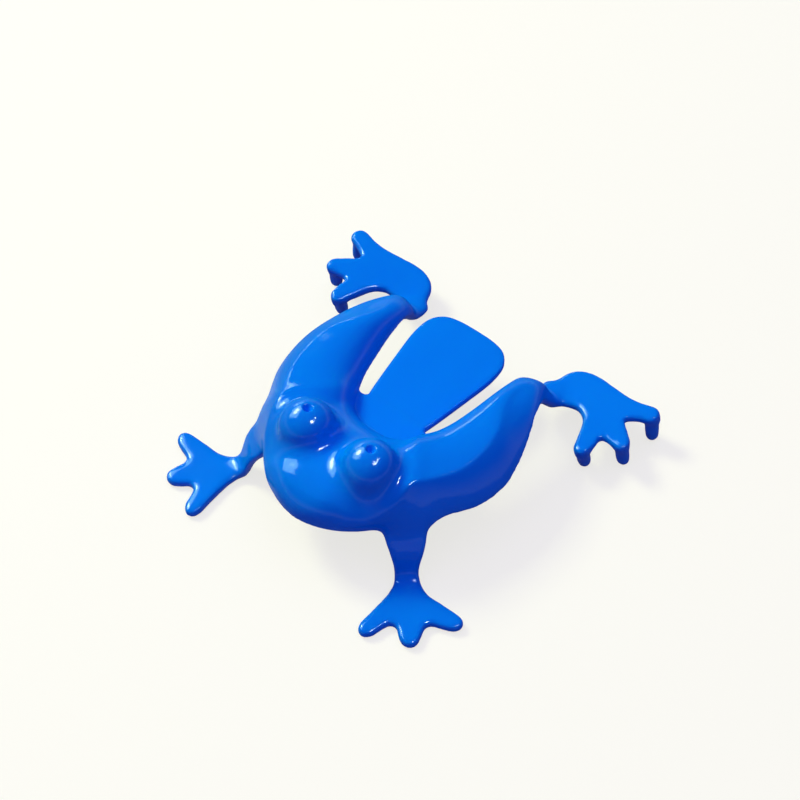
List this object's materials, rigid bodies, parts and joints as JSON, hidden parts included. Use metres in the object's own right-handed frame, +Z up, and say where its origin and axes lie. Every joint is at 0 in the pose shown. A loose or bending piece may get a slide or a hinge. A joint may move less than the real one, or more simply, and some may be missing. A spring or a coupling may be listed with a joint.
{
  "type": "jumping frog toy",
  "caption": "Small plastic jumping frog with a hollow shell body, ball eyes, splayed legs, webbed toes and a springy press tongue in its back.",
  "frame": {"origin": "centre of the toy's footprint, on the table it stands on", "axes": "+Z up, the frog faces -Y, and its own left side is towards +X"},
  "size_m": [0.0562, 0.0536, 0.0187],
  "materials": {
    "blue_plastic": "glossy, faintly translucent, moulded in one colour"
  },
  "bodies": {
    "frog": {"body_shell": "blue_plastic", "front_left_leg": "blue_plastic", "front_right_leg": "blue_plastic", "rear_left_foot": "blue_plastic", "rear_right_foot": "blue_plastic"},
    "tongue": {"press_tongue": "blue_plastic"}
  },
  "joints": [
    {"name": "tongue_press", "type": "hinge", "parent": "frog", "child": "tongue", "pos_m": [0, 0.00008, 0.0084], "axis": [-1, 0, 0], "range_deg": [0, 25], "stiffness_Nm_per_rad": 0.12}
  ]
}
